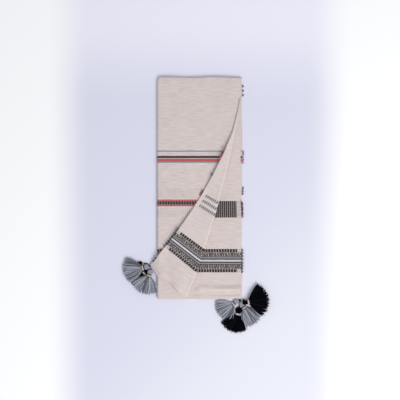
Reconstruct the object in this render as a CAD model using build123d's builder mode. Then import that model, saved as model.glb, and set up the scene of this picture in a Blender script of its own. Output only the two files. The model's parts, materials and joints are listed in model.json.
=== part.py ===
# Fringed table runner, folded in four, with one corner of its upper half turned over
# Millimetres, +Z up. Origin: the middle of the folded cloth's underside.

from build123d import *
from math import atan, cos, degrees, radians, sin
import os

os.makedirs("parts", exist_ok=True)

# --- the cloth, folded crosswise and then lengthwise into four layers
runner_width = 356
runner_length = 914
layer = 2.1  # one layer of the thick hand-woven cotton
gap = 0.3  # kept between pieces that move apart
bend = 2.5  # how far each fold swells past the middle line of the cloth

folded_width = runner_width / 2 - 2 * bend
folded_length = runner_length / 2
half_thick = 2 * layer - gap / 2  # each half is two layers
edge_round = 3.6  # rounding along the lengthwise fold
corner_round = 9  # where the two folds meet

left = -folded_width / 2
bottom = -folded_length / 2
right = -left
top = -bottom

# --- the crease of the turned corner, a slanted line across the upper half
crease_foot = 62  # from the lengthwise fold, at the hem
crease_slope = 0.285  # sideways run for each millimetre up the cloth
crease_height = 4 * layer + 0.1
roll_radius = 4.0  # the two layers roll over at this radius
crease_turn = degrees(atan(crease_slope))
crease_dir = Vector(sin(radians(crease_turn)), cos(radians(crease_turn)), 0)
slab_low = 4 * layer + 0.2
slab_thick = 3.9

# --- tassels
head_long, head_wide = 8.4, 8.0
wrap_long, wrap_wide = 4.0, 8.8
binding_long, binding_wide = 1.2, 8.2
head_back = 7.1  # head's middle, behind the wrap's middle
neck_wide = 7.4
cord_radius = 0.8
knot_radius = 1.8
skirt_thick = 2.4


def on_cloth(u, v):
    """A place on the cloth, from its fold edge and its hem."""
    return (left + u, bottom + v)


# ---------------------------------------------------------------- cloth
with BuildPart() as lower_half:
    with BuildSketch():
        Rectangle(folded_width, folded_length)
        fillet(vertices().group_by(Axis.Y)[-1].sort_by(Axis.X)[0], corner_round)
    extrude(amount=half_thick)
    fillet(edges().group_by(Axis.Z)[0].group_by(Axis.X)[0], edge_round)
lower_half.part.label = "lower_half"
export_step(lower_half.part, "parts/lower_half.step")

upper_low = half_thick + gap
crease_side = (roll_radius + 0.4) / cos(radians(crease_turn))  # the roll's own room
cut_foot = crease_foot - crease_side
cut_head = (folded_width - cut_foot) / crease_slope

with BuildPart() as upper_half:
    with BuildSketch(Plane.XY.offset(upper_low)):
        with BuildLine():
            Polyline(
                on_cloth(0, 0),
                on_cloth(cut_foot, 0),
                on_cloth(folded_width, cut_head),
                on_cloth(folded_width, folded_length),
                on_cloth(0, folded_length),
                close=True,
            )
        make_face()
        fillet(vertices().group_by(Axis.Y)[-1].sort_by(Axis.X)[0], corner_round)
    extrude(amount=half_thick)
    fillet(edges().group_by(Axis.Z)[-1].group_by(Axis.X)[0], edge_round)
upper_half.part.label = "upper_half"
export_step(upper_half.part, "parts/upper_half.step")

crease_start = Vector(*on_cloth(crease_foot + 2 * crease_slope, 2), crease_height)
crease_length = (folded_width - crease_foot) / sin(radians(crease_turn)) - 14

# the side view of the turned corner: flat on the stack, then over the fold edge to the table
drop_out = 13
drop_low = 1.0

# outline of the turned corner, from the foot of the crease round its tip to the crease's head
corner_hem = [(crease_foot, 1), (50, 8), (36, 24), (20, 37), (4, 43), (-3, 54), (-11, 67)]
corner_selvedge = [(-11, 67), (22, 119), (67, 172), (94, 216), (122, 272), (144, 312), (168, 374)]

with BuildPart() as turned_corner:
    with BuildSketch(Plane.XZ.offset(-top)):
        with BuildLine():
            Polyline(
                (right, slab_low),
                (left - 0.6, slab_low),
                (left - drop_out + 4.4, drop_low),
                (left - drop_out, drop_low + 1.4),
                (left - 3.4, slab_low + slab_thick),
                (right, slab_low + slab_thick),
                close=True,
            )
        make_face()
    extrude(amount=folded_length)
    with BuildSketch(Plane.XY):
        with BuildLine():
            hem_edge = Polyline([on_cloth(u, v) for u, v in corner_hem])
            selvedge = Polyline([on_cloth(u, v) for u, v in corner_selvedge])
            Line(selvedge @ 1, hem_edge @ 0)
        make_face()
    extrude(amount=slab_low + 2 * slab_thick, mode=Mode.INTERSECT)
    with BuildSketch(Plane(origin=crease_start, z_dir=crease_dir)):
        Circle(roll_radius)
    extrude(amount=crease_length)
turned_corner.part.label = "turned_corner"
export_step(turned_corner.part, "parts/turned_corner.step")

# ---------------------------------------------------------------- threads on the edges
thread = 0.25
hem_inset = 6

with BuildPart() as lower_hem_thread:
    stitch, step = 3.0, 5.0
    with Locations((on_cloth(124, hem_inset)[0], on_cloth(0, hem_inset)[1], half_thick)):
        with GridLocations(step, 1, 19, 1):
            Box(stitch, 0.9, thread, align=(Align.CENTER, Align.CENTER, Align.MIN))
lower_hem_thread.part.label = "lower_hem_thread"
export_step(lower_hem_thread.part, "parts/lower_hem_thread.step")

# where each woven band's yarns turn at the selvedge: distance up the cloth, and how many turns
band_turns = [(58, 2), (80, 3), (99, 2), (175, 4), (198, 3), (288, 4)]
turn_step = 3.4

with BuildPart() as lower_yarn_turns:
    for height, count in band_turns:
        with Locations((right, bottom + height, layer)):
            with GridLocations(1, turn_step, 1, count):
                Box(1.2, 2.2, 1.8, align=(Align.MIN, Align.CENTER, Align.CENTER))
lower_yarn_turns.part.label = "lower_yarn_turns"
export_step(lower_yarn_turns.part, "parts/lower_yarn_turns.step")

corner_turns = [0.30, 0.34, 0.38, 0.66, 0.70, 0.74]  # along the turned corner's selvedge
with BuildPart() as corner_yarn_turns:
    for part_way in corner_turns:
        spot = selvedge @ part_way
        with Locations((spot.X, spot.Y, slab_low + slab_thick)):
            Cylinder(1.2, 1.0, align=(Align.CENTER, Align.CENTER, Align.MIN))
corner_yarn_turns.part.label = "corner_yarn_turns"
export_step(corner_yarn_turns.part, "parts/corner_yarn_turns.step")

# ---------------------------------------------------------------- knots at the cloth's corners
# name: distance from the fold edge, from the hem, and height
knots = {
    "lower_knot_outer": (178.0, -2.5, 2.6),
    "lower_knot_inner": (171.5, -2.5, 2.6),
    "upper_knot_outer": (-14.6, 67.5, 3.4),
    "upper_knot_inner": (-13.4, 60.5, 3.4),
}
for knot_name, (u, v, height) in knots.items():
    with BuildPart() as knot:
        with Locations((*on_cloth(u, v), height)):
            Sphere(knot_radius)
    knot.part.label = knot_name
    export_step(knot.part, "parts/" + knot_name + ".step")

# ---------------------------------------------------------------- tassels
# each one: knot, wrap's place on the cloth's grid, heading, half spread, skirt length,
# height of the head's middle, head's thickness, height of the skirt's underside
tassels = {
    "right_black": ("lower_knot_outer", (188.6, -6.2), 11, 54, 41, 7.8, 4.2, 5.9),
    "right_grey": ("lower_knot_outer", (180.3, -18.6), -58, 30, 40, 3.4, 4.2, 3.1),
    "front_black": ("lower_knot_inner", (166.0, -32.1), 253, 44, 39, 2.6, 4.2, 0.3),
    "front_grey": ("lower_knot_inner", (157.1, -10.8), 217, 41, 38, 3.4, 4.2, 3.1),
    "left_grey": ("upper_knot_outer", (-30.2, 64.2), 193, 40, 40, 6.1, 4.2, 3.4),
    "left_black": ("upper_knot_outer", (-29.5, 69.0), 176, 18, 35, 1.9, 3.2, 0.3),
    "near_grey": ("upper_knot_inner", (-17.2, 47.6), 249, 46, 38, 6.1, 4.2, 5.9),
    "near_black": ("upper_knot_inner", (-27.2, 52.0), 220, 30, 36, 1.9, 3.2, 0.3),
}


def tassel_plane(name, height):
    """The flat plane that a tassel lies in: its X runs from the neck to the tips."""
    _, wrap_at, heading, *_ = tassels[name]
    x_dir = (cos(radians(heading)), sin(radians(heading)), 0)
    return Plane(origin=(*on_cloth(*wrap_at), height), x_dir=x_dir, z_dir=(0, 0, 1))


for name, (knot_name, wrap_at, heading, spread, reach, mid, thick, skirt_low) in tassels.items():
    with BuildPart() as head:
        with BuildSketch(tassel_plane(name, mid - thick / 2)):
            with Locations((-head_back, 0)):
                Ellipse(head_long / 2, head_wide / 2)
        extrude(amount=thick)
        fillet(edges().group_by(Axis.Z)[-1], thick * 0.4)
        fillet(edges().group_by(Axis.Z)[0], thick * 0.4)
    head.part.label = "tassel_" + name + "_head"
    export_step(head.part, "parts/tassel_" + name + "_head.step")

    with BuildPart() as wrap:
        with BuildSketch(tassel_plane(name, mid - thick / 2 - 0.1)):
            RectangleRounded(wrap_long - 0.6 * binding_long, wrap_wide, 0.8)
        extrude(amount=thick + 0.2)
        fillet(edges().group_by(Axis.Z)[-1], 0.7)
    wrap.part.label = "tassel_" + name + "_wrap"
    export_step(wrap.part, "parts/tassel_" + name + "_wrap.step")

    with BuildPart() as bindings:
        with BuildSketch(tassel_plane(name, mid - thick / 2)):
            with GridLocations(wrap_long - 0.6 * binding_long + binding_long + 0.04, 1, 2, 1):
                Rectangle(binding_long, binding_wide)
        extrude(amount=thick)
    bindings.part.label = "tassel_" + name + "_bindings"
    export_step(bindings.part, "parts/tassel_" + name + "_bindings.step")

    start = wrap_long / 2 + binding_long
    edge_x, edge_y = reach * cos(radians(spread)), reach * sin(radians(spread))
    with BuildPart() as skirt:
        with BuildSketch(tassel_plane(name, skirt_low)):
            with BuildLine():
                Line((start, neck_wide / 2), (edge_x, edge_y))
                ThreePointArc((edge_x, edge_y), (reach, 0), (edge_x, -edge_y))
                Line((edge_x, -edge_y), (start, -neck_wide / 2))
                Line((start, -neck_wide / 2), (start, neck_wide / 2))
            make_face()
        extrude(amount=skirt_thick)
        neck_low = min(skirt_low, mid - thick / 2 + 0.2)
        neck_high = max(skirt_low + skirt_thick, mid + thick / 2 - 0.2)
        with BuildSketch(tassel_plane(name, neck_low)):
            with Locations((start, 0)):
                Rectangle(3.0, neck_wide, align=(Align.MIN, Align.CENTER))
        extrude(amount=neck_high - neck_low)
    skirt.part.label = "tassel_" + name + "_skirt"
    export_step(skirt.part, "parts/tassel_" + name + "_skirt.step")

    ku, kv, knot_z = knots[knot_name]
    knot_at = Vector(*on_cloth(ku, kv), knot_z)
    along = Vector(cos(radians(heading)), sin(radians(heading)), 0)
    head_at = Vector(*on_cloth(*wrap_at), mid) - along * (head_back + 0.25 * head_long)
    run = (head_at - knot_at).normalized()
    cord_start = knot_at + run * (knot_radius + gap)
    with BuildPart() as cord:
        with BuildSketch(Plane(origin=cord_start, z_dir=run)):
            Circle(cord_radius)
        extrude(until=Until.NEXT, target=head.part)
    cord.part.label = "tassel_" + name + "_cord"
    export_step(cord.part, "parts/tassel_" + name + "_cord.step")
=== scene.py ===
import bpy
import json
import math
import random
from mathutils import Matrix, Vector


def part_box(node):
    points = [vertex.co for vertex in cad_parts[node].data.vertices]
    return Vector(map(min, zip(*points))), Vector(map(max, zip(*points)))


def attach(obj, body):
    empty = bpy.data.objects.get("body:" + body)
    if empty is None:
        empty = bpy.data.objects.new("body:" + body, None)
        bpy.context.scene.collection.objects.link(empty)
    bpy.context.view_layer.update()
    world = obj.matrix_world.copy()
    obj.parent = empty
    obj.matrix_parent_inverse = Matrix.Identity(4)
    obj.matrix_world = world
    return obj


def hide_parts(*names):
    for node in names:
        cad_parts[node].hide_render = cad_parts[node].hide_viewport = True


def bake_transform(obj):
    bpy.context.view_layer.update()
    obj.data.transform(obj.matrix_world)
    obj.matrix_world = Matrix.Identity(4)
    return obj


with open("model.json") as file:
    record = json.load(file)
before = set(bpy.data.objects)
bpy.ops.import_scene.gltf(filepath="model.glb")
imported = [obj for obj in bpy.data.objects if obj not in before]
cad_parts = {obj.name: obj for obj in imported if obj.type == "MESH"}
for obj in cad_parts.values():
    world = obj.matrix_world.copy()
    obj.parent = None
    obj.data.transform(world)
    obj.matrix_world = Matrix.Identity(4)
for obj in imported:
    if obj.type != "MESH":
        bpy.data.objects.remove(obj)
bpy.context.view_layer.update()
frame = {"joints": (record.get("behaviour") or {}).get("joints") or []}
random.seed(7)
print("frame loaded")

mm = 0.001

# the folded cloth, in millimetres from its lengthwise fold (u) and its hem (v)
cloth = {
    "width": 173.0,          # folded
    "length": 457.0,
    "step": 2.1,             # from one layer's middle to the next
    "thickness": 1.9,
    "bend": 4.2,             # outside radius of the lengthwise fold
    "foldSide": 5.0,         # flat strip that goes with the fold on each half
    "cell": 3.0,             # grid of the mesh
    "cornerRound": 9.0,
    "cutSize": (0.356, 0.914),
}
crease = {
    "foot": 61.8,            # outer edge of the crease at the hem
    "lean": 0.385,
    "bow": 0.00028,
    "head": 415.0,           # how far up the cloth it runs
    "roll": 2.2,             # radius of the turned layers' middle
    "rollSwell": 0.6,        # more of it half way up
    "drawIn": 8.0,           # selvedge pulled in below the crease's head
    "lip": 1.3,              # the flap's lower layer stands out past the upper one
    "settle": 12.0,          # distance in which the flap comes down from the roll
    "edgeLift": 2.0,         # the selvedge stands up most at edgeLiftAt
    "edgeLiftAt": 335.0,
    "rest": 0.5,             # clearance of the flap over the layers below
}
# how far the turned corner's hem strays from a straight cut, at distances from the fold
hemStray = [(-14, 0), (-3, -4), (3, -8), (12, -2), (20, 2), (28, 4), (38, 2), (47, 0), (53, 0), (62, 3)]
hemStrayReach = 48.0
# soft ridges of the uncovered third layer: height above the hem, lean, width, rise
ridges = [(14, 0.05, 3.0, 2.9), (28, -0.04, 3.2, 2.2)]
# dents and swells of the turned corner near its hem: height above it and width, both ways, and rise
swells = [(5, 6, 26, 12, 4.2), (4, 7, 62, 12, 2.2), (20, 7, 14, 8, 1.2)]
drape = {"start": 6.0, "radius": 8.0, "angle": 27.0, "lowest": 2.8}   # the tip over the lengthwise fold

halfStep = cloth["step"] / 2
foldRun = cloth["length"] - halfStep - cloth["thickness"] / 2   # straight run up to the crosswise fold
pathLength = 2 * foldRun + math.pi * halfStep


def smooth(t):
    t = min(1.0, max(0.0, t))
    return t * t * (3 - 2 * t)


def bump(t, middle, spread):
    return math.exp(-((t - middle) / spread) ** 2)


def inFrame(u, v, z):
    return ((u - cloth["width"] / 2) * mm, (v - cloth["length"] / 2) * mm, z * mm)


def alongPath(path):
    # height on the cloth, cosine and sine of the turn round the crosswise fold
    if path <= foldRun:
        return path, 1.0, 0.0
    turn = min((path - foldRun) / halfStep, math.pi)
    over = max(0.0, path - foldRun - math.pi * halfStep)
    return foldRun - over, math.cos(turn), math.sin(turn)


def roundCorner(u, v):
    r = cloth["cornerRound"]
    a, b = max(0.0, r - u) / r, max(0.0, v - cloth["length"] + r) / r
    if a > 0 and b > 0:
        pull = max(a, b) / math.hypot(a, b)
        u, v = r - a * pull * r, cloth["length"] - r + b * pull * r
    return u, v


def handmade(u, v, z, layer):
    # the small unevenness of a hand-woven cloth, a little different in each layer
    u += (0.8 * math.sin(v / 43 + layer * 1.7) + 0.45 * math.sin(v / 15 + layer)) * smooth((u - 148) / 25)
    v += 0.9 * math.sin(u / 17 + layer * 0.8) * smooth((v - 425) / 30)
    v += 0.8 * math.sin(u / 22 + layer * 2.1) * (1 - smooth(v / 18))
    u, v = roundCorner(u, v)
    return u, v, z


def selvedgeAt(v):
    return cloth["width"] - crease["drawIn"] * (1 - smooth((v - 330) / 90))


def creaseAngle(v):
    return math.atan(crease["lean"] - 2 * crease["bow"] * v)


def rollAt(v):
    return crease["roll"] + crease["rollSwell"] * math.sin(math.pi * min(1.0, v / crease["head"]))


def rollStart(v):
    edge = crease["foot"] + crease["lean"] * v - crease["bow"] * v * v
    return edge - (rollAt(v) + halfStep + cloth["thickness"] / 2) / math.cos(creaseAngle(v))


def lowerPoint(u, path, layer):
    v, flat, over = alongPath(path)
    z = cloth["step"] + halfStep * flat
    if flat > 0.5:
        bare = smooth((u - rollStart(v) - 10) / 16)
        z += bare * sum(rise * bump(v, at + lean * u, wide) for at, lean, wide, rise in ridges)
        z += bare * (0.5 * math.sin(v / 21 + u / 37) + 0.35 * math.sin(u / 13 + v / 60))
    else:
        u += 2.0 * smooth((u - 150) / 25)   # the bottom layer shows past the third one
    return handmade(u, v + over * halfStep, z, layer)


def upperPoint(u, path, layer):
    v, flat, over = alongPath(path)
    z = 3 * cloth["step"] - halfStep * flat
    if flat < -0.5:
        z += (0.45 * math.sin(v / 33 + u / 50) + 0.35 * math.sin(u / 17 + v / 80)) * smooth((u - 8) / 20)
    return handmade(u, v + over * halfStep, z, layer)


def foldPoint(turn, flatRun, path, layer):
    v, flat, over = alongPath(path)
    middle, away = cloth["bend"], cloth["step"] - halfStep * flat
    u = middle + flatRun - away * math.sin(turn)
    z = middle - away * math.cos(turn)
    return handmade(u, v + over * halfStep, z, layer)


def overEdge(u, z):
    # the corner's tip bends down over the lengthwise fold to the table
    past = drape["start"] - u
    if past <= 0:
        return u, z
    limit = math.radians(drape["angle"])
    turn = min(past / drape["radius"], limit)
    rest = past - turn * drape["radius"]
    u = drape["start"] - drape["radius"] * math.sin(turn) - rest * math.cos(turn)
    z -= drape["radius"] * (1 - math.cos(turn)) + rest * math.sin(turn)
    low = drape["lowest"]
    return u, low + (z - low if z > low + 1 else math.exp(z - low - 1))


def strayAt(u):
    for (a, low), (b, high) in zip(hemStray, hemStray[1:]):
        if u <= b:
            return low + (high - low) * smooth((u - a) / (b - a))
    return hemStray[-1][1]


def flapPoint(reach, v, side):
    # reach: cloth past the start of the roll, along the weft
    # side: 1 for the flap's upper layer, -1 for the one beneath
    angle, roll = creaseAngle(v), rollAt(v)
    across, along = reach * math.cos(angle), reach * math.sin(angle)
    turn = min(across / roll, math.pi)
    beyond = max(0.0, across - math.pi * roll)
    lateral = roll * math.sin(turn) - beyond
    z = 3 * cloth["step"] + roll * (1 - math.cos(turn))
    restZ = 5 * cloth["step"] + crease["rest"]
    edge = (selvedgeAt(v) - rollStart(v)) * math.cos(angle) - math.pi * roll
    if beyond > 0:
        z = restZ + (z - restZ) * math.exp(-beyond / crease["settle"])
        near = smooth(1 - (edge - beyond) / 22)
        z += near * (0.8 + crease["edgeLift"] * bump(v, crease["edgeLiftAt"], 55)) * smooth(beyond / 6)
        ripple = 0.7 * math.sin(v / 19 + beyond / 31) + 0.5 * math.sin(beyond / 11 - v / 40)
        z += smooth(beyond / 25) * ripple
        for up, tall, at, wide, rise in swells:
            z += rise * bump(v, up, tall) * bump(beyond, at, wide)
    off = side * halfStep
    right, up = lateral + off * math.sin(turn), -off * math.cos(turn)
    u = rollStart(v) + right * math.cos(angle) + along * math.sin(angle)
    y = v - right * math.sin(angle) + along * math.cos(angle)
    u, z = overEdge(u, z)
    y += strayAt(u) * (1 - smooth(v / hemStrayReach))
    return u, y, z + up


# making pieces from rows of points
def span(low, high, step):
    count = max(1, round((high - low) / step))
    return [low + (high - low) * i / count for i in range(count + 1)]


def clothPiece(name, grids):
    verts, faces, uvs = [], [], []
    for grid in grids:
        wide = len(grid[0])
        base = len(verts)
        for row in grid:
            for place, flatPlace in row:
                verts.append(inFrame(*place))
                uvs.append((flatPlace[0] * mm, flatPlace[1] * mm))
        for j in range(len(grid) - 1):
            for i in range(wide - 1):
                a = base + j * wide + i
                faces.append((a, a + 1, a + wide + 1, a + wide))
    mesh = bpy.data.meshes.new(name)
    mesh.from_pydata(verts, [], faces)
    layer = mesh.uv_layers.new(name="flatCloth")
    for loop in mesh.loops:
        layer.data[loop.index].uv = uvs[loop.vertex_index]
    piece = bpy.data.objects.new(name, mesh)
    bpy.context.scene.collection.objects.link(piece)
    pick(piece)
    wall = piece.modifiers.new("wall", "SOLIDIFY")
    wall.thickness = cloth["thickness"] * mm
    wall.offset = 0
    bpy.ops.object.modifier_apply(modifier="wall")
    bpy.ops.object.mode_set(mode="EDIT")
    bpy.ops.mesh.select_all(action="SELECT")
    bpy.ops.mesh.normals_make_consistent(inside=False)
    bpy.ops.object.mode_set(mode="OBJECT")
    bpy.ops.object.shade_smooth_by_angle(angle=math.radians(50))
    return piece


def pick(piece):
    bpy.ops.object.select_all(action="DESELECT")
    piece.select_set(True)
    bpy.context.view_layer.objects.active = piece


def yarnPiece(name, paths, radius, resolution=3, sides=1):
    # paths: lists of points in metres, each with a thickness factor
    curve = bpy.data.curves.new(name, "CURVE")
    curve.dimensions = "3D"
    curve.bevel_depth = radius * mm
    curve.bevel_resolution = sides
    curve.resolution_u = resolution
    curve.use_fill_caps = True
    for points in paths:
        line = curve.splines.new("NURBS")
        line.points.add(len(points) - 1)
        for spot, (place, thick) in zip(line.points, points):
            spot.co = (*place, 1)
            spot.radius = thick
        line.order_u = 3
        line.use_endpoint_u = True
    piece = bpy.data.objects.new(name, curve)
    bpy.context.scene.collection.objects.link(piece)
    pick(piece)
    bpy.ops.object.convert(target="MESH")
    piece = bpy.context.object
    bpy.ops.object.shade_smooth()
    return piece


# materials
def newMaterial(name, roughness=0.85, sheen=0.3, gloss=0.25):
    material = bpy.data.materials.new(name)
    material.use_nodes = True
    tree = material.node_tree
    shader = tree.nodes["Principled BSDF"]
    shader.inputs["Roughness"].default_value = roughness
    shader.inputs["Sheen Weight"].default_value = sheen
    shader.inputs["Sheen Roughness"].default_value = 0.5
    shader.inputs["Specular IOR Level"].default_value = gloss
    return material, tree, shader


def mathNode(tree, operation, a, b=None, c=None):
    node = tree.nodes.new("ShaderNodeMath")
    node.operation = operation
    for socket, value in zip(node.inputs, (a, b, c)):
        if value is None:
            continue
        if isinstance(value, (int, float)):
            socket.default_value = value
        else:
            tree.links.new(value, socket)
    return node.outputs[0]


def mixColour(tree, factor, a, b):
    node = tree.nodes.new("ShaderNodeMix")
    node.data_type = "RGBA"
    for name, value in (("Factor", factor), ("A", a), ("B", b)):
        socket = [s for s in node.inputs if s.name == name and s.enabled][0]
        if isinstance(value, tuple):
            socket.default_value = (*value, 1)
        elif isinstance(value, (int, float)):
            socket.default_value = value
        else:
            tree.links.new(value, socket)
    return [s for s in node.outputs if s.enabled][0]


def noise(tree, vector, scale, detail=3.0, stretch=(1, 1, 1)):
    mapping = tree.nodes.new("ShaderNodeMapping")
    mapping.inputs["Scale"].default_value = stretch
    tree.links.new(vector, mapping.inputs["Vector"])
    node = tree.nodes.new("ShaderNodeTexNoise")
    node.inputs["Scale"].default_value = scale
    node.inputs["Detail"].default_value = detail
    tree.links.new(mapping.outputs[0], node.inputs["Vector"])
    return node.outputs["Fac"]


def relief(tree, shader, height, strength, depth):
    node = tree.nodes.new("ShaderNodeBump")
    node.inputs["Strength"].default_value = strength
    node.inputs["Distance"].default_value = depth
    tree.links.new(height, node.inputs["Height"])
    tree.links.new(node.outputs[0], shader.inputs["Normal"])


yarns = {
    "natural": (0.665, 0.585, 0.562),
    "naturalLight": (0.80, 0.72, 0.685),
    "naturalDark": (0.47, 0.375, 0.35),
    "red": (0.56, 0.07, 0.06),
    "black": (0.004, 0.004, 0.007),
    "blueGrey": (0.25, 0.28, 0.34),
    "grey": (0.36, 0.34, 0.36),
    "rowGrey": (0.19, 0.195, 0.235),
    "faint": (0.42, 0.36, 0.35),
    "speckle": (0.085, 0.074, 0.064),
    "slate": (0.15, 0.17, 0.22),
}

# woven bands: distance from the hem to each edge, yarn, pitch along the weft (0 is solid), share shown
hemBands = [
    (54.6, 61.2, "black", 5.6, 0.86), (61.8, 70.2, "speckle", 0, 1), (62.2, 64.4, "natural", 5.8, 0.30),
    (64.8, 67.0, "natural", 3.9, 0.26), (67.4, 69.6, "natural", 4.7, 0.30), (62.0, 69.8, "black", 3.3, 0.34),
    (70.2, 71.5, "black", 0, 1), (71.5, 74.0, "blueGrey", 0, 1), (74.0, 76.7, "slate", 0, 1),
    (74.0, 76.7, "black", 3.1, 0.84), (80.5, 83.2, "slate", 0, 1), (80.5, 83.2, "black", 3.1, 0.84),
    (83.2, 85.7, "blueGrey", 0, 1), (85.7, 87.0, "black", 0, 1), (87.4, 95.6, "speckle", 0, 1),
    (87.8, 90.0, "natural", 4.7, 0.30), (90.4, 92.6, "natural", 5.8, 0.26),
    (93.0, 95.2, "natural", 3.9, 0.30), (87.6, 95.4, "black", 3.3, 0.34), (96.1, 102.7, "black", 5.6, 0.86),
]
plainLeafBands = [
    (191.0, 194.2, "red", 3.0, 0.90), (194.4, 201.4, "slate", 0, 1), (194.6, 201.2, "black", 5.6, 0.68),
    (201.6, 204.8, "red", 3.0, 0.90), (280.4, 283.0, "blueGrey", 3.0, 0.9), (283.2, 289.0, "red", 1.5, 0.9),
    (290.2, 295.0, "black", 3.1, 0.93), (303.0, 305.8, "blueGrey", 3.0, 0.9),
]
# faint rows of ticks, lined up above each other: height of the first and last row, rows
faintRows = [(169.0, 183.0, 4), (209.0, 224.0, 4), (297.0, 297.0, 1)]
faintLook = {"tall": 3.6, "pitch": 4.3, "share": 0.4, "strength": 0.75, "patch": 34}
blockBand = {
    "low": 167.7,
    "high": 201.8,
    "pitch": 4.3,            # of its columns
    "share": 0.80,
    "margin": 9.0,           # grey dots take its place this near the selvedge
    "under": 0.30,           # how dark it is between the columns
    "rowPitch": 3.4,
    "rowShare": 0.94,
    "dotPitch": 2.6,
    "dotShare": 0.5,
    "dotTall": 0.6,
}
# the hem's rows of black dashes: where they run across the opened cloth, and the grey dots beside them
dashRow = {"low": 16.0, "high": 338.0, "leastTall": 5.0, "leastPitch": 5.0, "dotPitch": 2.7, "dotShare": 0.5}
greyRows = {"lows": (169.8, 181.9, 194.2), "tall": 6.0, "pitch": 4.2, "share": 0.70, "margin": 15.0}

weaveLook = {
    "roughness": 0.92,
    "sheen": 0.22,
    "waver": 1.1,            # how far the bands stray along the warp
    "weftPitch": 1.5,
    "warpPitch": 1.9,
    "ribs": 0.6,             # weft ribs over the plain weave
    "relief": 0.16,
    "slubRelief": 0.8,
    "yarnRelief": 0.9,       # the pattern's yarns stand above the ground
    "bump": 0.8,
    "depth": 0.0006,
    "shiftStep": 1.3,        # each band's dashes start a little further on
}


def inBand(tree, place, low, high):
    return mathNode(tree, "COMPARE", place, (low + high) / 2 * mm, (high - low) / 2 * mm)


def dashes(tree, across, pitch, share, shift):
    turns = mathNode(tree, "DIVIDE", mathNode(tree, "ADD", across, (50 + shift) * mm), pitch * mm)
    return mathNode(tree, "LESS_THAN", mathNode(tree, "FRACT", turns), share)


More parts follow.
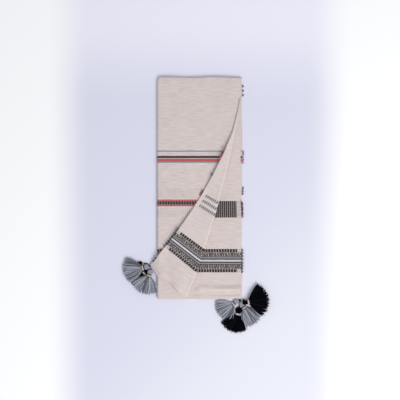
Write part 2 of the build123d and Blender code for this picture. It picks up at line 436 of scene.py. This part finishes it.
def wovenCotton():
    look = weaveLook
    material, tree, shader = newMaterial("wovenCotton", look["roughness"], look["sheen"])
    uv = tree.nodes.new("ShaderNodeUVMap")
    uv.uv_map = "flatCloth"
    flat = uv.outputs[0]
    parts = tree.nodes.new("ShaderNodeSeparateXYZ")
    tree.links.new(flat, parts.inputs[0])
    across, along = parts.outputs[0], parts.outputs[1]
    # hand weaving: the bands waver by a few tenths of a millimetre
    waver = mathNode(tree, "SUBTRACT", noise(tree, flat, 60, 2), 0.5)
    wavering = mathNode(tree, "MULTIPLY_ADD", waver, look["waver"] * mm, along)
    slub = noise(tree, flat, 90, 3, (0.6, 10, 1))
    patch = noise(tree, flat, 9, 2)
    flecks = noise(tree, flat, 900, 2, (0.6, 1.2, 1))
    streak = noise(tree, flat, 60, 2, (0.5, 8, 1))
    tone = mathNode(tree, "MULTIPLY_ADD", mathNode(tree, "SUBTRACT", slub, 0.5), 2.8, 0.55)
    tone = mathNode(tree, "MULTIPLY_ADD", mathNode(tree, "SUBTRACT", streak, 0.5), 1.3, tone)
    tone = mathNode(tree, "MULTIPLY_ADD", mathNode(tree, "SUBTRACT", patch, 0.5), 0.5, tone)
    tone = mathNode(tree, "MINIMUM", mathNode(tree, "MAXIMUM", tone, 0.0), 1.0)
    colour = mixColour(tree, tone, yarns["naturalDark"], yarns["naturalLight"])
    colour = mixColour(tree, 0.50, yarns["natural"], colour)
    colour = mixColour(tree, mathNode(tree, "MULTIPLY", flecks, 0.3), colour, yarns["naturalLight"])
    raised = None
    # the same bands lie at both hems, and the plain leaf's only at the far one
    bands = list(hemBands)
    for low, high, yarn, pitch, share in hemBands + plainLeafBands:
        bands.append((pathLength - high, pathLength - low, yarn, pitch, share))
    insideEdges = inBand(tree, across, dashRow["low"], dashRow["high"])
    for number, (low, high, yarn, pitch, share) in enumerate(bands):
        mask = inBand(tree, wavering, low, high)
        if yarn == "black" and high - low > dashRow["leastTall"] and pitch > dashRow["leastPitch"]:
            dots = dashes(tree, across, dashRow["dotPitch"], dashRow["dotShare"], 0)
            dotted = mathNode(tree, "MULTIPLY", mask, mathNode(tree, "SUBTRACT", 1.0, insideEdges))
            dotted = mathNode(tree, "MULTIPLY", dotted, dots)
            colour = mixColour(tree, dotted, colour, yarns["grey"])
            mask = mathNode(tree, "MULTIPLY", mask, insideEdges)
        if pitch:
            shift = number * look["shiftStep"]
            mask = mathNode(tree, "MULTIPLY", mask, dashes(tree, across, pitch, share, shift))
        colour = mixColour(tree, mask, colour, yarns[yarn])
        raised = mask if raised is None else mathNode(tree, "MAXIMUM", raised, mask)
    ticks = dashes(tree, across, faintLook["pitch"], faintLook["share"], 0)
    present = mathNode(tree, "MULTIPLY_ADD", noise(tree, flat, faintLook["patch"], 1), 5.0, -2.0)
    present = mathNode(tree, "MINIMUM", mathNode(tree, "MAXIMUM", present, 0.15), 1.0)
    ticks = mathNode(tree, "MULTIPLY", mathNode(tree, "MULTIPLY", ticks, present), faintLook["strength"])
    for first, last, rows in faintRows:
        for row in range(rows):
            low = first + (last - first) * row / max(1, rows - 1)
            mask = inBand(tree, wavering, pathLength - low - faintLook["tall"], pathLength - low)
            colour = mixColour(tree, mathNode(tree, "MULTIPLY", mask, ticks), colour, yarns["faint"])
    # the block band: black columns on the right half, rows of grey dashes on the left half
    block = inBand(tree, wavering, blockBand["low"], blockBand["high"])
    rightHalf = mathNode(tree, "GREATER_THAN", across, cloth["width"] * mm)
    inner = mathNode(tree, "LESS_THAN", across, (2 * cloth["width"] - blockBand["margin"]) * mm)
    columns = dashes(tree, across, blockBand["pitch"], blockBand["share"], 1.0)
    rowsFine = dashes(tree, wavering, blockBand["rowPitch"], blockBand["rowShare"], 0)
    rightBlock = mathNode(tree, "MULTIPLY", block, rightHalf)
    black = mathNode(tree, "MULTIPLY", rightBlock, mathNode(tree, "MULTIPLY", columns, rowsFine))
    under = mathNode(tree, "MULTIPLY", rightBlock, inner)
    colour = mixColour(tree, mathNode(tree, "MULTIPLY", under, blockBand["under"]), colour, yarns["black"])
    colour = mixColour(tree, mathNode(tree, "MULTIPLY", black, inner), colour, yarns["black"])
    margin = mathNode(tree, "MULTIPLY", mathNode(tree, "SUBTRACT", 1.0, inner), block)
    dotColumns = dashes(tree, across, blockBand["dotPitch"], blockBand["dotShare"], 0.4)
    dotRows = dashes(tree, wavering, blockBand["rowPitch"], blockBand["dotTall"], 1)
    dots = mathNode(tree, "MULTIPLY", dotColumns, dotRows)
    colour = mixColour(tree, mathNode(tree, "MULTIPLY", margin, dots), colour, yarns["grey"])
    for low in greyRows["lows"]:
        row = inBand(tree, wavering, low, low + greyRows["tall"])
        row = mathNode(tree, "MULTIPLY", row, mathNode(tree, "SUBTRACT", 1.0, rightHalf))
        row = mathNode(tree, "MULTIPLY", row, mathNode(tree, "GREATER_THAN", across, greyRows["margin"] * mm))
        row = mathNode(tree, "MULTIPLY", row, dashes(tree, across, greyRows["pitch"], greyRows["share"], low))
        colour = mixColour(tree, row, colour, yarns["rowGrey"])
        raised = mathNode(tree, "MAXIMUM", raised, row)
    raised = mathNode(tree, "MAXIMUM", raised, black)
    # plain weave: weft ribs over warp
    weft = mathNode(tree, "SINE", mathNode(tree, "MULTIPLY", along, 2 * math.pi / (look["weftPitch"] * mm)))
    warp = mathNode(tree, "SINE", mathNode(tree, "MULTIPLY", across, 2 * math.pi / (look["warpPitch"] * mm)))
    weave = mathNode(tree, "MULTIPLY", weft, warp)
    weave = mathNode(tree, "ADD", weave, mathNode(tree, "MULTIPLY", weft, look["ribs"]))
    slubHeight = mathNode(tree, "MULTIPLY", slub, look["slubRelief"])
    height = mathNode(tree, "MULTIPLY_ADD", weave, look["relief"], slubHeight)
    height = mathNode(tree, "MULTIPLY_ADD", raised, look["yarnRelief"], height)
    dark = mathNode(tree, "MULTIPLY_ADD", weave, 0.05, 0.06)
    colour = mixColour(tree, dark, colour, yarns["naturalDark"])
    relief(tree, shader, height, look["bump"], look["depth"])
    tree.links.new(colour, shader.inputs["Base Color"])
    tree.links.new(mathNode(tree, "MULTIPLY_ADD", raised, -0.12, 0.93), shader.inputs["Roughness"])
    return material


def yarnMaterial(name, dark, light, sheen=0.4, roughness=0.75, gloss=0.25):
    material, tree, shader = newMaterial(name, roughness, sheen, gloss)
    place = tree.nodes.new("ShaderNodeTexCoord").outputs["Object"]
    broad = noise(tree, place, 420, 2)
    fine = noise(tree, place, 2600, 3)
    colour = mixColour(tree, broad, dark, light)
    colour = mixColour(tree, mathNode(tree, "MULTIPLY", fine, 0.35), colour, dark)
    relief(tree, shader, fine, 0.6, 0.0003)
    tree.links.new(colour, shader.inputs["Base Color"])
    return material


cottonCloth = wovenCotton()
# the tassels' yarn also comes in lit and shaded copies: a lighter black and a pale grey are painted light, a
# dark grey is painted shade
blackYarn = yarnMaterial("blackYarn", (0.001, 0.001, 0.002), (0.003, 0.003, 0.007), 0.0, 0.95, 0.03)
blackYarnLit = yarnMaterial("blackYarnLit", (0.003, 0.003, 0.005), (0.008, 0.008, 0.015), 0.0, 0.9, 0.08)
greyYarnShaded = yarnMaterial("greyYarnShaded", (0.05, 0.054, 0.070), (0.17, 0.178, 0.215), 0.1)
greyYarn = yarnMaterial("greyYarn", (0.20, 0.21, 0.255), (0.42, 0.435, 0.51), 0.2)
greyYarnLit = yarnMaterial("greyYarnLit", (0.30, 0.31, 0.365), (0.56, 0.575, 0.65), 0.2)
neckThread = yarnMaterial("neckThread", (0.40, 0.32, 0.24), (0.64, 0.55, 0.45), 0.1, 0.7)
hemThread = yarnMaterial("hemThread", (0.50, 0.44, 0.38), (0.68, 0.62, 0.55), 0.2)
patternYarn = yarnMaterial("patternYarn", (0.010, 0.010, 0.013), (0.05, 0.05, 0.06), 0.2)
redYarn = yarnMaterial("redYarn", (0.36, 0.04, 0.035), (0.55, 0.09, 0.08), 0.2)
print("materials made")


def finishPiece(piece, material, nodes=()):
    piece.data.materials.clear()
    piece.data.materials.append(material)
    if nodes:
        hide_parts(*nodes)


# the cloth
meshing = {
    "overCell": 0.55,        # grid round the crosswise fold
    "upperColumns": 52,
    "foldColumns": 12,       # round the lengthwise fold
    "rollColumns": 9,        # round the turned corner's roll, and beyond it
    "flapColumns": 38,
    "flapCell": 2.8,
}
width, cell, bend = cloth["width"], cloth["cell"], cloth["bend"]
halfEdge = bend + cloth["foldSide"]
upPath = span(0, foldRun, cell)
overPath = span(foldRun, foldRun + math.pi * halfStep, meshing["overCell"])
downPath = span(foldRun + math.pi * halfStep, pathLength, cell)
fullPath = upPath + overPath[1:] + downPath[1:]


def layerOf(path, first, second):
    return first if path < foldRun + math.pi * halfStep / 2 else second


lowerGrid = []
for path in fullPath:
    row = [(lowerPoint(u, path, layerOf(path, 3, 4)), (width + u, path)) for u in span(halfEdge, width, cell)]
    lowerGrid.append(row)
lowerCloth = clothPiece("lowerCloth", [lowerGrid])
finishPiece(lowerCloth, cottonCloth, ["lower_half"])
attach(lowerCloth, "lower_half")

upperGrid = []
for path in fullPath:
    v = alongPath(path)[0]
    end = min(rollStart(v), selvedgeAt(v)) if v < crease["head"] else selvedgeAt(v)
    row = []
    for i in range(meshing["upperColumns"] + 1):
        u = halfEdge + (end - halfEdge) * i / meshing["upperColumns"]
        row.append((upperPoint(u, path, layerOf(path, 2, 1)), (width - u, path)))
    upperGrid.append(row)
upperCloth = clothPiece("upperCloth", [upperGrid])
finishPiece(upperCloth, cottonCloth, ["upper_half"])
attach(upperCloth, "upper_half")

# columns of the fold: turn round it, flat run beside it, and the place across the opened cloth
count, strip = meshing["foldColumns"], cloth["foldSide"] / 2
foldColumns = [(0, strip * (2 - i), halfEdge - strip * i) for i in range(2)]
foldColumns += [(math.pi * i / count, 0, bend * (1 - i / (count / 2))) for i in range(count + 1)]
foldColumns += [(math.pi, strip * i, -bend - strip * i) for i in (1, 2)]
pastApex = 1.6   # turn from which the fold belongs to the upper layers

apex = foldRun + math.pi * halfStep / 2
innerPaths = upPath + [p for p in overPath[1:] if p <= apex + 0.01]
outerPaths = [p for p in overPath if p >= apex - 0.01] + downPath[1:]
# the paths, the layers joined, the heights between which the strip bends, and its flat width
foldEdges = {
    "foldInner": (innerPaths, (3, 2), 4.15, 4.25, 13.3),
    "foldOuter": (outerPaths, (4, 1), 2.2, 6.2, 19.9),
}
for name, (paths, layers, low, high, wide) in foldEdges.items():
    grid = []
    for path in paths:
        row = []
        for turn, run, place in foldColumns:
            layer = layers[0 if turn < pastApex else 1]
            row.append((foldPoint(turn, run, path, layer), (width + place, path)))
        grid.append(row)
    piece = clothPiece(name, [grid])
    finishPiece(piece, cottonCloth)
    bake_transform(piece)

flapGrids = []
rollColumns, flapColumns = meshing["rollColumns"], meshing["flapColumns"]
for side in (1, -1):
    grid = []
    for v in span(0, crease["head"], meshing["flapCell"]):
        lip = 0 if side == 1 else crease["lip"] * smooth((400 - v) / 60)
        whole = selvedgeAt(v) - rollStart(v) + lip
        turned = min(math.pi * rollAt(v) / math.cos(creaseAngle(v)), whole * 0.8)
        reaches = [turned * i / rollColumns for i in range(rollColumns + 1)]
        reaches += [turned + (whole - turned) * i / flapColumns for i in range(1, flapColumns + 1)]
        row = []
        for reach in reaches:
            path = v if side == 1 else pathLength - v
            row.append((flapPoint(reach, v, side), (width - rollStart(v) - reach, path)))
        grid.append(row)
    flapGrids.append(grid)
cornerCloth = clothPiece("cornerCloth", flapGrids)
finishPiece(cornerCloth, cottonCloth, ["turned_corner"])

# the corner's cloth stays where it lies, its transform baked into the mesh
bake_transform(cornerCloth)


print("cloth made")


# tassels
tassel = {
    "points": 6,             # along each yarn of the skirt
    "clearance": 0.05,       # over the table
    "neckHalf": 5.3,
    "neckFront": 2.2,
    "belly": 3.2,            # how far the yarns swell sideways half way
    "stray": 3,              # degrees
    "sway": 2.0,
    "shorter": 0.09,         # most that a yarn is cut short, and the outermost ones on top of that
    "sideShorter": 0.04,
    "tipLow": 1.1,
    "tipRise": 1.7,
    "thinTip": 0.3,
    "coilSteps": 14,         # points in each turn of the wrap and the bindings
    "wrapTurns": 8,
    "wrapRadius": 0.36,
    "wrapHalf": 4.7,
    "wrapStart": -1.6,       # along the tassel, from the wrap's middle
    "wrapLength": 3.2,
    "bindTurns": 2,
    "bindRadius": 0.75,
    "bindHalf": 4.3,
    "bindStarts": (-2.9, 2.0),
    "bindLength": 0.9,
    "headYarns": 28,
    "headPoints": 7,
    "headRadius": 0.72,
    "headHalf": 4.9,
    "headBack": 5.6,
    "headFront": 4.6,
    "headTwist": 0.5,
    "cordPoints": 13,
    "cordRadius": 0.85,
    "cordTwist": 9,
    "cordApart": 0.45,       # each strand from the cord's middle
    "cordStart": 0.12,       # share of the way from the knot to the head
    "cordEnd": 3.2,          # inside the head
}
# the skirt's bundles of yarn: how many, their radius, added reach, which of the three shades (the darkest is
# painted shade, the lightest painted light); the first, thick dark bundle is painted shade that fills the
# gaps between the locks
bundles = [(26, 1.5, -1.5, 0), (24, 1.2, 0.0, 1), (17, 1.15, 0.5, 2), (24, 0.45, 1.0, 1), (20, 0.45, 1.5, 0)]
# lit and shaded copies of each tassel's yarn: the third black and the third grey are painted light, the first
# grey is painted shade
blackYarnLitAndShaded = (blackYarn, blackYarn, blackYarnLit)
greyYarnLitAndShaded = (greyYarnShaded, greyYarn, greyYarnLit)
tasselLooks = {
    "right_black": (blackYarnLitAndShaded, "black_yarn", 54, 44.0, 0.85),
    "right_grey": (greyYarnLitAndShaded, "grey_yarn", 37, 41.0, 1.2),
    "front_black": (blackYarnLitAndShaded, "black_yarn", 46, 40.0, 1.3),
    "front_grey": (greyYarnLitAndShaded, "grey_yarn", 46, 39.0, 1.0),
    "left_grey": (greyYarnLitAndShaded, "grey_yarn", 43, 42.0, 1.05),
    "left_black": (blackYarnLitAndShaded, "black_yarn", 4, 15.0, 0.85),
    "near_grey": (greyYarnLitAndShaded, "grey_yarn", 51, 40.0, 1.05),
    "near_black": (blackYarnLitAndShaded, "black_yarn", 6, 33.0, 0.9),
}


def middleOf(node):
    low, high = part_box(node)
    return (Vector(low) + Vector(high)) / 2


def coil(centre, forward, side, turns, start, length, wide, high):
    steps = tassel["coilSteps"]
    lowest = (tassel["bindRadius"] + tassel["clearance"]) * mm
    points = []
    for i in range(turns * steps + 1):
        angle = 2 * math.pi * i / steps
        at = start + length * i / (turns * steps)
        place = centre + forward * at * mm + side * wide * math.cos(angle) * mm
        place.z = max(centre.z + high * math.sin(angle) * mm, lowest)
        points.append((place, 1))
    return points


def fan(centre, forward, side, spread, reach, low, count, radius, neckZ):
    paths = []
    for i in range(count):
        share = (i + random.random()) / count * 2 - 1
        angle = math.radians(share * spread + random.uniform(-tassel["stray"], tassel["stray"]))
        cut = 1 - tassel["shorter"] * random.random() ** 2
        long = reach * cut * (1 - tassel["sideShorter"] * abs(share))
        level = random.random()
        tipZ = tassel["tipLow"] + 0.7 * low + level * tassel["tipRise"]
        sway, phase = random.uniform(-tassel["sway"], tassel["sway"]), random.uniform(0, 6)
        startX, startY = tassel["neckFront"], tassel["neckHalf"] * share
        endX, endY = long * math.cos(angle), long * math.sin(angle)
        points = []
        for k in range(tassel["points"]):
            t = k / (tassel["points"] - 1)
            wander = sway * math.sin(2.6 * t + phase) * t * (1 - 0.3 * t)
            belly = tassel["belly"] * share * math.sin(math.pi * t)
            x = startX + (endX - startX) * t
            y = startY + (endY - startY) * t + wander + belly
            z = neckZ + (level * 2 - 1) * 1.3 * (1 - t) + (tipZ - neckZ) * smooth(t * 1.25)
            z = max(z + math.sin(math.pi * t) * level, radius + tassel["clearance"])
            place = centre + forward * x * mm + side * y * mm + Vector((0, 0, z * mm - centre.z))
            points.append((place, 1 - tassel["thinTip"] * t ** 5))
        paths.append(points)
    return paths


def shadedPiece(name, parts, resolution=3):
    # one piece from several sets of paths, each with its own radius and material
    made = []
    for paths, radius, material in parts:
        piece = yarnPiece(name, paths, radius, resolution)
        piece.data.materials.clear()
        piece.data.materials.append(material)
        made.append(piece)
    for piece in made:
        piece.select_set(True)
    bpy.context.view_layer.objects.active = made[0]
    bpy.ops.object.join()
    return made[0]


for name, (shades, slot, spread, reach, plump) in tasselLooks.items():
    node = "tassel_" + name
    wrapAt, headAt = middleOf(node + "_wrap"), middleOf(node + "_head")
    forward = Vector((wrapAt.x - headAt.x, wrapAt.y - headAt.y, 0)).normalized()
    side = Vector((-forward.y, forward.x, 0))
    headLow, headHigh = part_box(node + "_head")
    high = (headHigh[2] - headLow[2]) / mm / 2
    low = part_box(node + "_skirt")[0][2] / mm
    neckZ = wrapAt.z / mm

    parts = []
    for count, radius, longer, shade in bundles:
        wide, long = spread + longer, reach + longer - radius
        paths = fan(wrapAt, forward, side, wide, long, low, count, radius, neckZ)
        parts.append((paths, radius, shades[shade]))
    skirt = shadedPiece(name + "Skirt", parts, 2)
    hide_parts(node + "_skirt")
    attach(skirt, node)

    headPaths = []
    back, front, wide = tassel["headBack"] * plump, tassel["headFront"], tassel["headHalf"]
    for i in range(tassel["headYarns"]):
        around = 2 * math.pi * i / tassel["headYarns"]
        points = []
        for k in range(tassel["headPoints"]):
            t = k / (tassel["headPoints"] - 1)
            swell = math.sin(math.pi * (0.12 + 0.76 * t)) ** 0.7
            x = -back + (front + back) * t
            twist = around + tassel["headTwist"] * t
            place = headAt + forward * x * mm + side * wide * plump * swell * math.cos(twist) * mm
            points.append((place + Vector((0, 0, (high - 0.5) * swell * math.sin(twist) * mm)), 1))
        headPaths.append(points)
    head = yarnPiece(name + "Head", headPaths, tassel["headRadius"])
    finishPiece(head, shades[1], [node + "_head"])
    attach(head, node)

    wrapPath = coil(wrapAt, forward, side, tassel["wrapTurns"], tassel["wrapStart"], tassel["wrapLength"],
                    tassel["wrapHalf"], high)
    wrap = yarnPiece(name + "Wrap", [wrapPath], tassel["wrapRadius"])
    finishPiece(wrap, neckThread, [node + "_wrap"])
    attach(wrap, node)

    bindPaths = []
    for start in tassel["bindStarts"]:
        bindPaths.append(coil(wrapAt, forward, side, tassel["bindTurns"], start, tassel["bindLength"],
                              tassel["bindHalf"], high - 0.2))
    bindings = yarnPiece(name + "Bindings", bindPaths, tassel["bindRadius"])
    finishPiece(bindings, blackYarn, [node + "_bindings"])
    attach(bindings, node)

    joint = [j for j in frame["joints"] if j["name"] == node + "_swing"][0]
    pivot = Vector(joint["pos_m"])
    headEnd = headAt - forward * tassel["cordEnd"] * mm
    apart, begin = tassel["cordApart"], tassel["cordStart"]
    ply = []
    for strand in (0, math.pi):
        points = []
        for k in range(tassel["cordPoints"]):
            t = k / (tassel["cordPoints"] - 1)
            angle = strand + tassel["cordTwist"] * t
            place = pivot.lerp(headEnd, begin + (1 - begin) * t) + side * apart * math.cos(angle) * mm
            points.append((place + Vector((0, 0, apart * math.sin(angle) * mm)), 1))
        ply.append(points)
    cord = yarnPiece(name + "Cord", ply, tassel["cordRadius"])
    finishPiece(cord, blackYarn, [node + "_cord"])
    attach(cord, node)
print("tassels made")

# knots at the cloth's corners
knotLook = {"rings": 5, "turn": 0.65, "lean": 0.5, "rise": 0.85, "steps": 14, "size": 1.35, "radius": 0.55}
knotBodies = {
    "lower_knot_outer": "lower_half", "lower_knot_inner": "lower_half",
    "upper_knot_outer": "turned_corner", "upper_knot_inner": "turned_corner",
}
for node, body in knotBodies.items():
    centre = middleOf(node)
    paths = []
    for turn in range(knotLook["rings"]):
        tilted, lean = turn * knotLook["turn"], knotLook["lean"]
        a = Vector((math.cos(tilted), math.sin(tilted), 0))
        b = Vector((-math.sin(tilted) * lean, math.cos(tilted) * lean, knotLook["rise"]))
        ring = []
        for k in range(knotLook["steps"] + 1):
            angle = 2 * math.pi * k / knotLook["steps"]
            ring.append((centre + (a * math.cos(angle) + b * math.sin(angle)) * knotLook["size"] * mm, 1))
        paths.append(ring)
    knot = yarnPiece(node.replace("_k", "K").replace("_o", "O").replace("_i", "I"), paths, knotLook["radius"])
    finishPiece(knot, blackYarn, [node])
    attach(knot, body)

# threads on the edges
stitch = {"count": 19, "inset": 1.5, "stray": 0.3, "lift": 0.5, "radius": 0.3}
stitchShape = ((-1.6, -0.6), (-1.0, 0.2), (1.0, 0.2), (1.6, -0.6))
stitches = []
hemLow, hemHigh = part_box("lower_hem_thread")
hemRun = hemHigh[0] - hemLow[0] - 2 * stitch["inset"] * mm
for i in range(stitch["count"]):
    x = hemLow[0] + stitch["inset"] * mm + hemRun * i / (stitch["count"] - 1)
    y = (hemLow[1] + hemHigh[1]) / 2 + random.uniform(-stitch["stray"], stitch["stray"]) * mm
    z = hemLow[2] + stitch["lift"] * mm
    stitches.append([(Vector((x + d * mm, y, z + h * mm)), 1) for d, h in stitchShape])
hemStitches = yarnPiece("hemStitches", stitches, stitch["radius"])
finishPiece(hemStitches, hemThread, ["lower_hem_thread"])
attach(hemStitches, "lower_half")


turnLook = {"size": 5.2, "radius": 0.75, "steps": 6, "inset": 0.8, "half": 0.45, "rise": 0.3}


def edgeLoop(place, outward, along):
    up = Vector((0, 0, 1))
    size, steps = turnLook["size"], turnLook["steps"]
    points = []
    for k in range(steps + 1):
        angle = math.pi * k / steps
        out = outward * (size * math.sin(angle) - turnLook["inset"]) * mm
        beside = along * (size * turnLook["half"] * math.cos(angle)) * mm
        points.append((Vector(place) + out + beside + up * math.cos(angle) * turnLook["rise"] * mm, 1))
    return points


# heights above the hem at which a dyed yarn turns back on the bottom and third layer's edge
lowerTurnHeights = {
    "dark": [56, 62, 68, 74, 81, 88, 94, 100, 170, 175, 180, 186, 192, 198, 217, 223, 229, 421, 430, 439],
    "red": [176, 184, 188, 196, 287, 299.5],
    "grey": [281.5, 293, 304],
}
cornerTurnHeights = {
    "dark": [14, 22, 44, 56, 63, 70, 77, 84, 91, 98, 104, 198, 243, 292.5],
    "red": [192.5, 203, 284, 287.5, 299],
    "grey": [281, 303.5],
}
turnYarns = {"dark": patternYarn, "red": redYarn, "grey": greyYarn}


def yarnTurns(name, loops, body, node):
    parts = [(paths, turnLook["radius"], turnYarns[key]) for key, paths in loops.items()]
    turns = shadedPiece(name, parts)
    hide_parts(node)
    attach(turns, body)


def lowerLoop(v, colourName):
    # the red turns and the high ones are on the bottom layer, the others on the third
    layer = 4 if colourName == "red" or v > 205 else 3
    path = pathLength - v if layer == 4 else v
    place = inFrame(*lowerPoint(width - 0.5, path, layer))
    return edgeLoop(place, Vector((1, 0, 0)), Vector((0, 1, 0)))


def cornerLoop(v):
    reach = selvedgeAt(v) - rollStart(v)
    place = Vector(inFrame(*flapPoint(reach - 0.3, v, 1)))
    inside = Vector(inFrame(*flapPoint(reach - 3, v, 1)))
    beside = Vector(inFrame(*flapPoint(reach - 0.3, v + 2, 1)))
    return edgeLoop(place, (place - inside).normalized(), (beside - place).normalized())


lowerLoops = {key: [lowerLoop(v, key) for v in heights] for key, heights in lowerTurnHeights.items()}
cornerLoops = {key: [cornerLoop(v) for v in heights] for key, heights in cornerTurnHeights.items()}
yarnTurns("lowerYarnTurns", lowerLoops, "lower_half", "lower_yarn_turns")
yarnTurns("cornerYarnTurns", cornerLoops, "turned_corner", "corner_yarn_turns")
print("edges made")

# floor, light and camera
studio = {
    "floorSize": 12,
    "plain": (0.71, 0.715, 0.83),
    "bright": (0.77, 0.78, 0.85),      # towards the light
    "far": (0.86, 0.85, 0.95),
    "white": (1.0, 1.0, 1.0),          # far out to the sides
    "brightSpan": (0.12, 0.5),
    "farSpan": (0.16, 0.36),
    "whiteSpan": (0.22, 0.32),
    "sky": (0.93, 0.95, 1.0),
    "skyPower": 0.60,
    "lightPlace": (1.2, -1.4, 2.2),
    "lightSize": 1.5,
    "lightPower": 51,
    "lightColour": (1.0, 0.985, 0.97),
}
view = {"lens": 85.0, "sensor": 36, "seen": 0.828, "middle": (0.0019, -0.0246)}


def ramp(tree, value, span):
    node = tree.nodes.new("ShaderNodeMapRange")
    node.interpolation_type = "SMOOTHSTEP"
    node.inputs["From Min"].default_value, node.inputs["From Max"].default_value = span
    tree.links.new(value, node.inputs["Value"])
    return node.outputs[0]


bpy.ops.object.select_all(action="DESELECT")
bpy.ops.mesh.primitive_plane_add(size=studio["floorSize"])
floor = bpy.context.object
floor.name = "floor"
floorPaint, floorTree, floorShader = newMaterial("paleFloor", 0.9, 0.0)
floorParts = floorTree.nodes.new("ShaderNodeSeparateXYZ")
floorTree.links.new(floorTree.nodes.new("ShaderNodeTexCoord").outputs["Object"], floorParts.inputs[0])
floorX, floorY = floorParts.outputs[0], floorParts.outputs[1]
nearLight = ramp(floorTree, mathNode(floorTree, "SUBTRACT", floorX, floorY), studio["brightSpan"])
farAway = ramp(floorTree, floorY, studio["farSpan"])
aside = ramp(floorTree, mathNode(floorTree, "ABSOLUTE", floorX), studio["whiteSpan"])
floorColour = mixColour(floorTree, nearLight, studio["plain"], studio["bright"])
floorColour = mixColour(floorTree, farAway, floorColour, studio["far"])
floorColour = mixColour(floorTree, aside, floorColour, studio["white"])
floorTree.links.new(floorColour, floorShader.inputs["Base Color"])
floor.data.materials.append(floorPaint)

world = bpy.data.worlds.new("studio")
bpy.context.scene.world = world
world.use_nodes = True
background = world.node_tree.nodes["Background"]
background.inputs["Color"].default_value = (*studio["sky"], 1)
background.inputs["Strength"].default_value = studio["skyPower"]

light = bpy.data.lights.new("windowLight", "AREA")
light.size, light.energy, light.color = studio["lightSize"], studio["lightPower"], studio["lightColour"]
lamp = bpy.data.objects.new("windowLight", light)
lamp.location = studio["lightPlace"]
lamp.rotation_euler = (-Vector(studio["lightPlace"])).to_track_quat("-Z", "Y").to_euler()
bpy.context.scene.collection.objects.link(lamp)

camera = bpy.data.cameras.new("camera")
camera.lens = view["lens"]
cameraObject = bpy.data.objects.new("camera", camera)
cameraObject.location = (*view["middle"], view["seen"] * view["lens"] / view["sensor"])
bpy.context.scene.collection.objects.link(cameraObject)
bpy.context.scene.camera = cameraObject
bpy.context.scene.view_settings.view_transform = "Standard"

print("scene ready")
